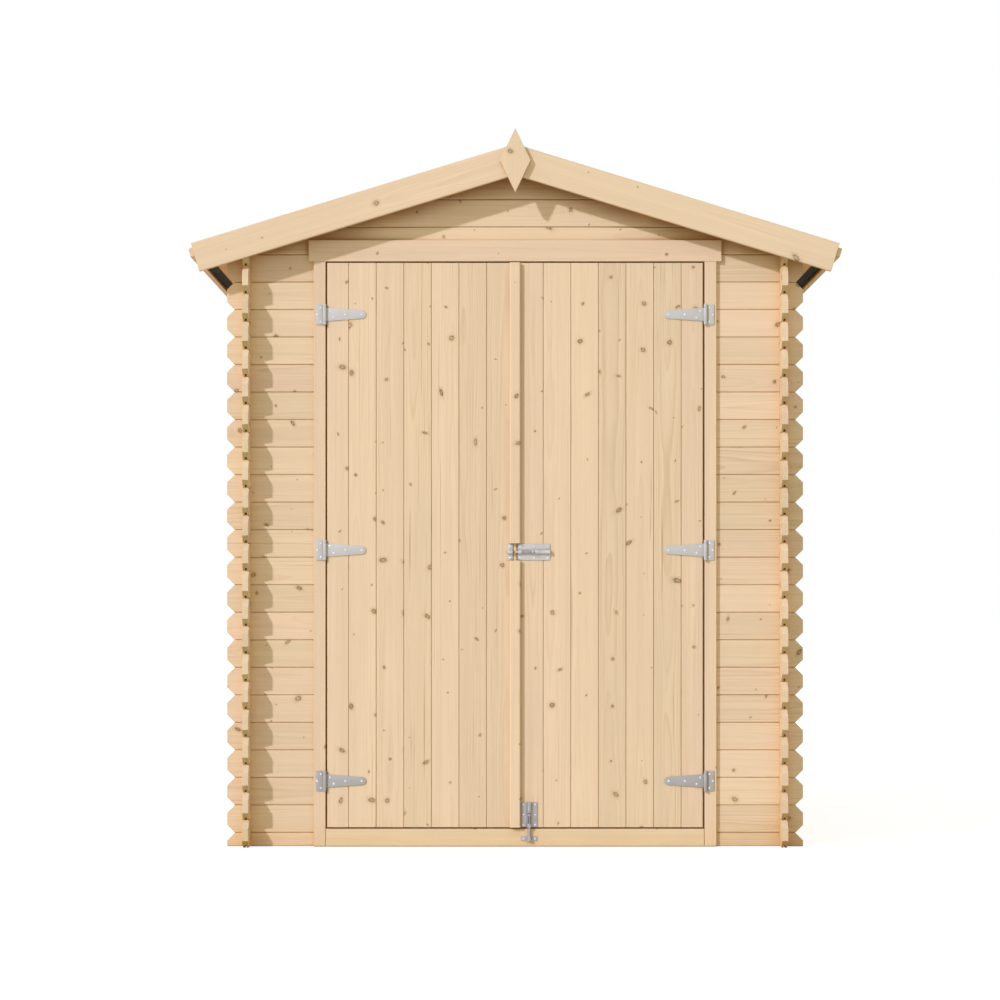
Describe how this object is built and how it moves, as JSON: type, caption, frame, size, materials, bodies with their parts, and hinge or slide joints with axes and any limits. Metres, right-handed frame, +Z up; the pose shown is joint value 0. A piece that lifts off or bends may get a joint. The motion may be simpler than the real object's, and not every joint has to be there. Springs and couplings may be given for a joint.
{
  "type": "wooden garden shed",
  "caption": "Garden shed of interlocking pine boards with a felted gable roof, a built floor and a pair of ledged doors on T-hinges with barrel bolts.",
  "frame": {"origin": "on the ground, in the middle of the shed", "axes": "+Z up, doors towards -Y, +X to the right when facing the doors"},
  "size_m": [2.0486, 2.064, 2.2496],
  "materials": {
    "wall_pine": "planed, untreated pine",
    "roof_pine": "planed, untreated pine",
    "trim_pine": "planed, untreated pine",
    "door_pine": "planed, untreated pine",
    "floor_pine": "planed, untreated pine",
    "roofing_felt": "matt bitumen felt with fine grit",
    "hinge_steel": "galvanized",
    "bolt_zinc": "bright zinc plate"
  },
  "bodies": {
    "shed": {"front_wall_left": "wall_pine", "front_wall_right": "wall_pine", "front_gable": "wall_pine", "back_wall": "wall_pine", "back_gable": "wall_pine", "left_wall": "wall_pine", "right_wall": "wall_pine", "ridge_purlin": "roof_pine", "left_purlin": "roof_pine", "right_purlin": "roof_pine", "roof_boards_left": "roof_pine", "roof_boards_right": "roof_pine", "roof_felt_left": "roofing_felt", "roof_felt_right": "roofing_felt", "ridge_felt": "roofing_felt", "eave_strip_left": "trim_pine", "eave_strip_right": "trim_pine", "front_bargeboard_left": "trim_pine", "front_bargeboard_right": "trim_pine", "back_bargeboard_left": "trim_pine", "back_bargeboard_right": "trim_pine", "front_finial": "trim_pine", "back_finial": "trim_pine", "jamb_left": "trim_pine", "jamb_right": "trim_pine", "door_head": "trim_pine", "door_sill": "trim_pine", "floor_boards": "floor_pine", "floor_bearers": "floor_pine", "hinge_plates_left": "hinge_steel", "hinge_plates_right": "hinge_steel", "bottom_bolt_keep": "bolt_zinc"},
    "left_door": {"left_door_boards": "door_pine", "left_door_ledges": "door_pine", "left_door_braces": "door_pine", "cover_strip": "trim_pine", "hinge_straps_left": "hinge_steel", "mid_bolt_keep": "bolt_zinc"},
    "right_door": {"right_door_boards": "door_pine", "right_door_ledges": "door_pine", "right_door_braces": "door_pine", "hinge_straps_right": "hinge_steel", "mid_bolt_plate": "bolt_zinc", "bottom_bolt_plate": "bolt_zinc"},
    "mid_bolt": {"mid_bolt_rod": "bolt_zinc"},
    "bottom_bolt": {"bottom_bolt_rod": "bolt_zinc"}
  },
  "joints": [
    {"name": "left_door_hinge", "type": "hinge", "parent": "shed", "child": "left_door", "pos_m": [-0.6, -0.9528, 0.939], "axis": [0, 0, -1], "range_deg": [0, 160]},
    {"name": "right_door_hinge", "type": "hinge", "parent": "shed", "child": "right_door", "pos_m": [0.6, -0.9528, 0.939], "axis": [0, 0, 1], "range_deg": [0, 160]},
    {"name": "mid_bolt_slide", "type": "slide", "parent": "right_door", "child": "mid_bolt", "axis": [-1, 0, 0], "range_m": [0, 0.03]},
    {"name": "bottom_bolt_slide", "type": "slide", "parent": "right_door", "child": "bottom_bolt", "axis": [0, 0, -1], "range_m": [0, 0.024]}
  ]
}
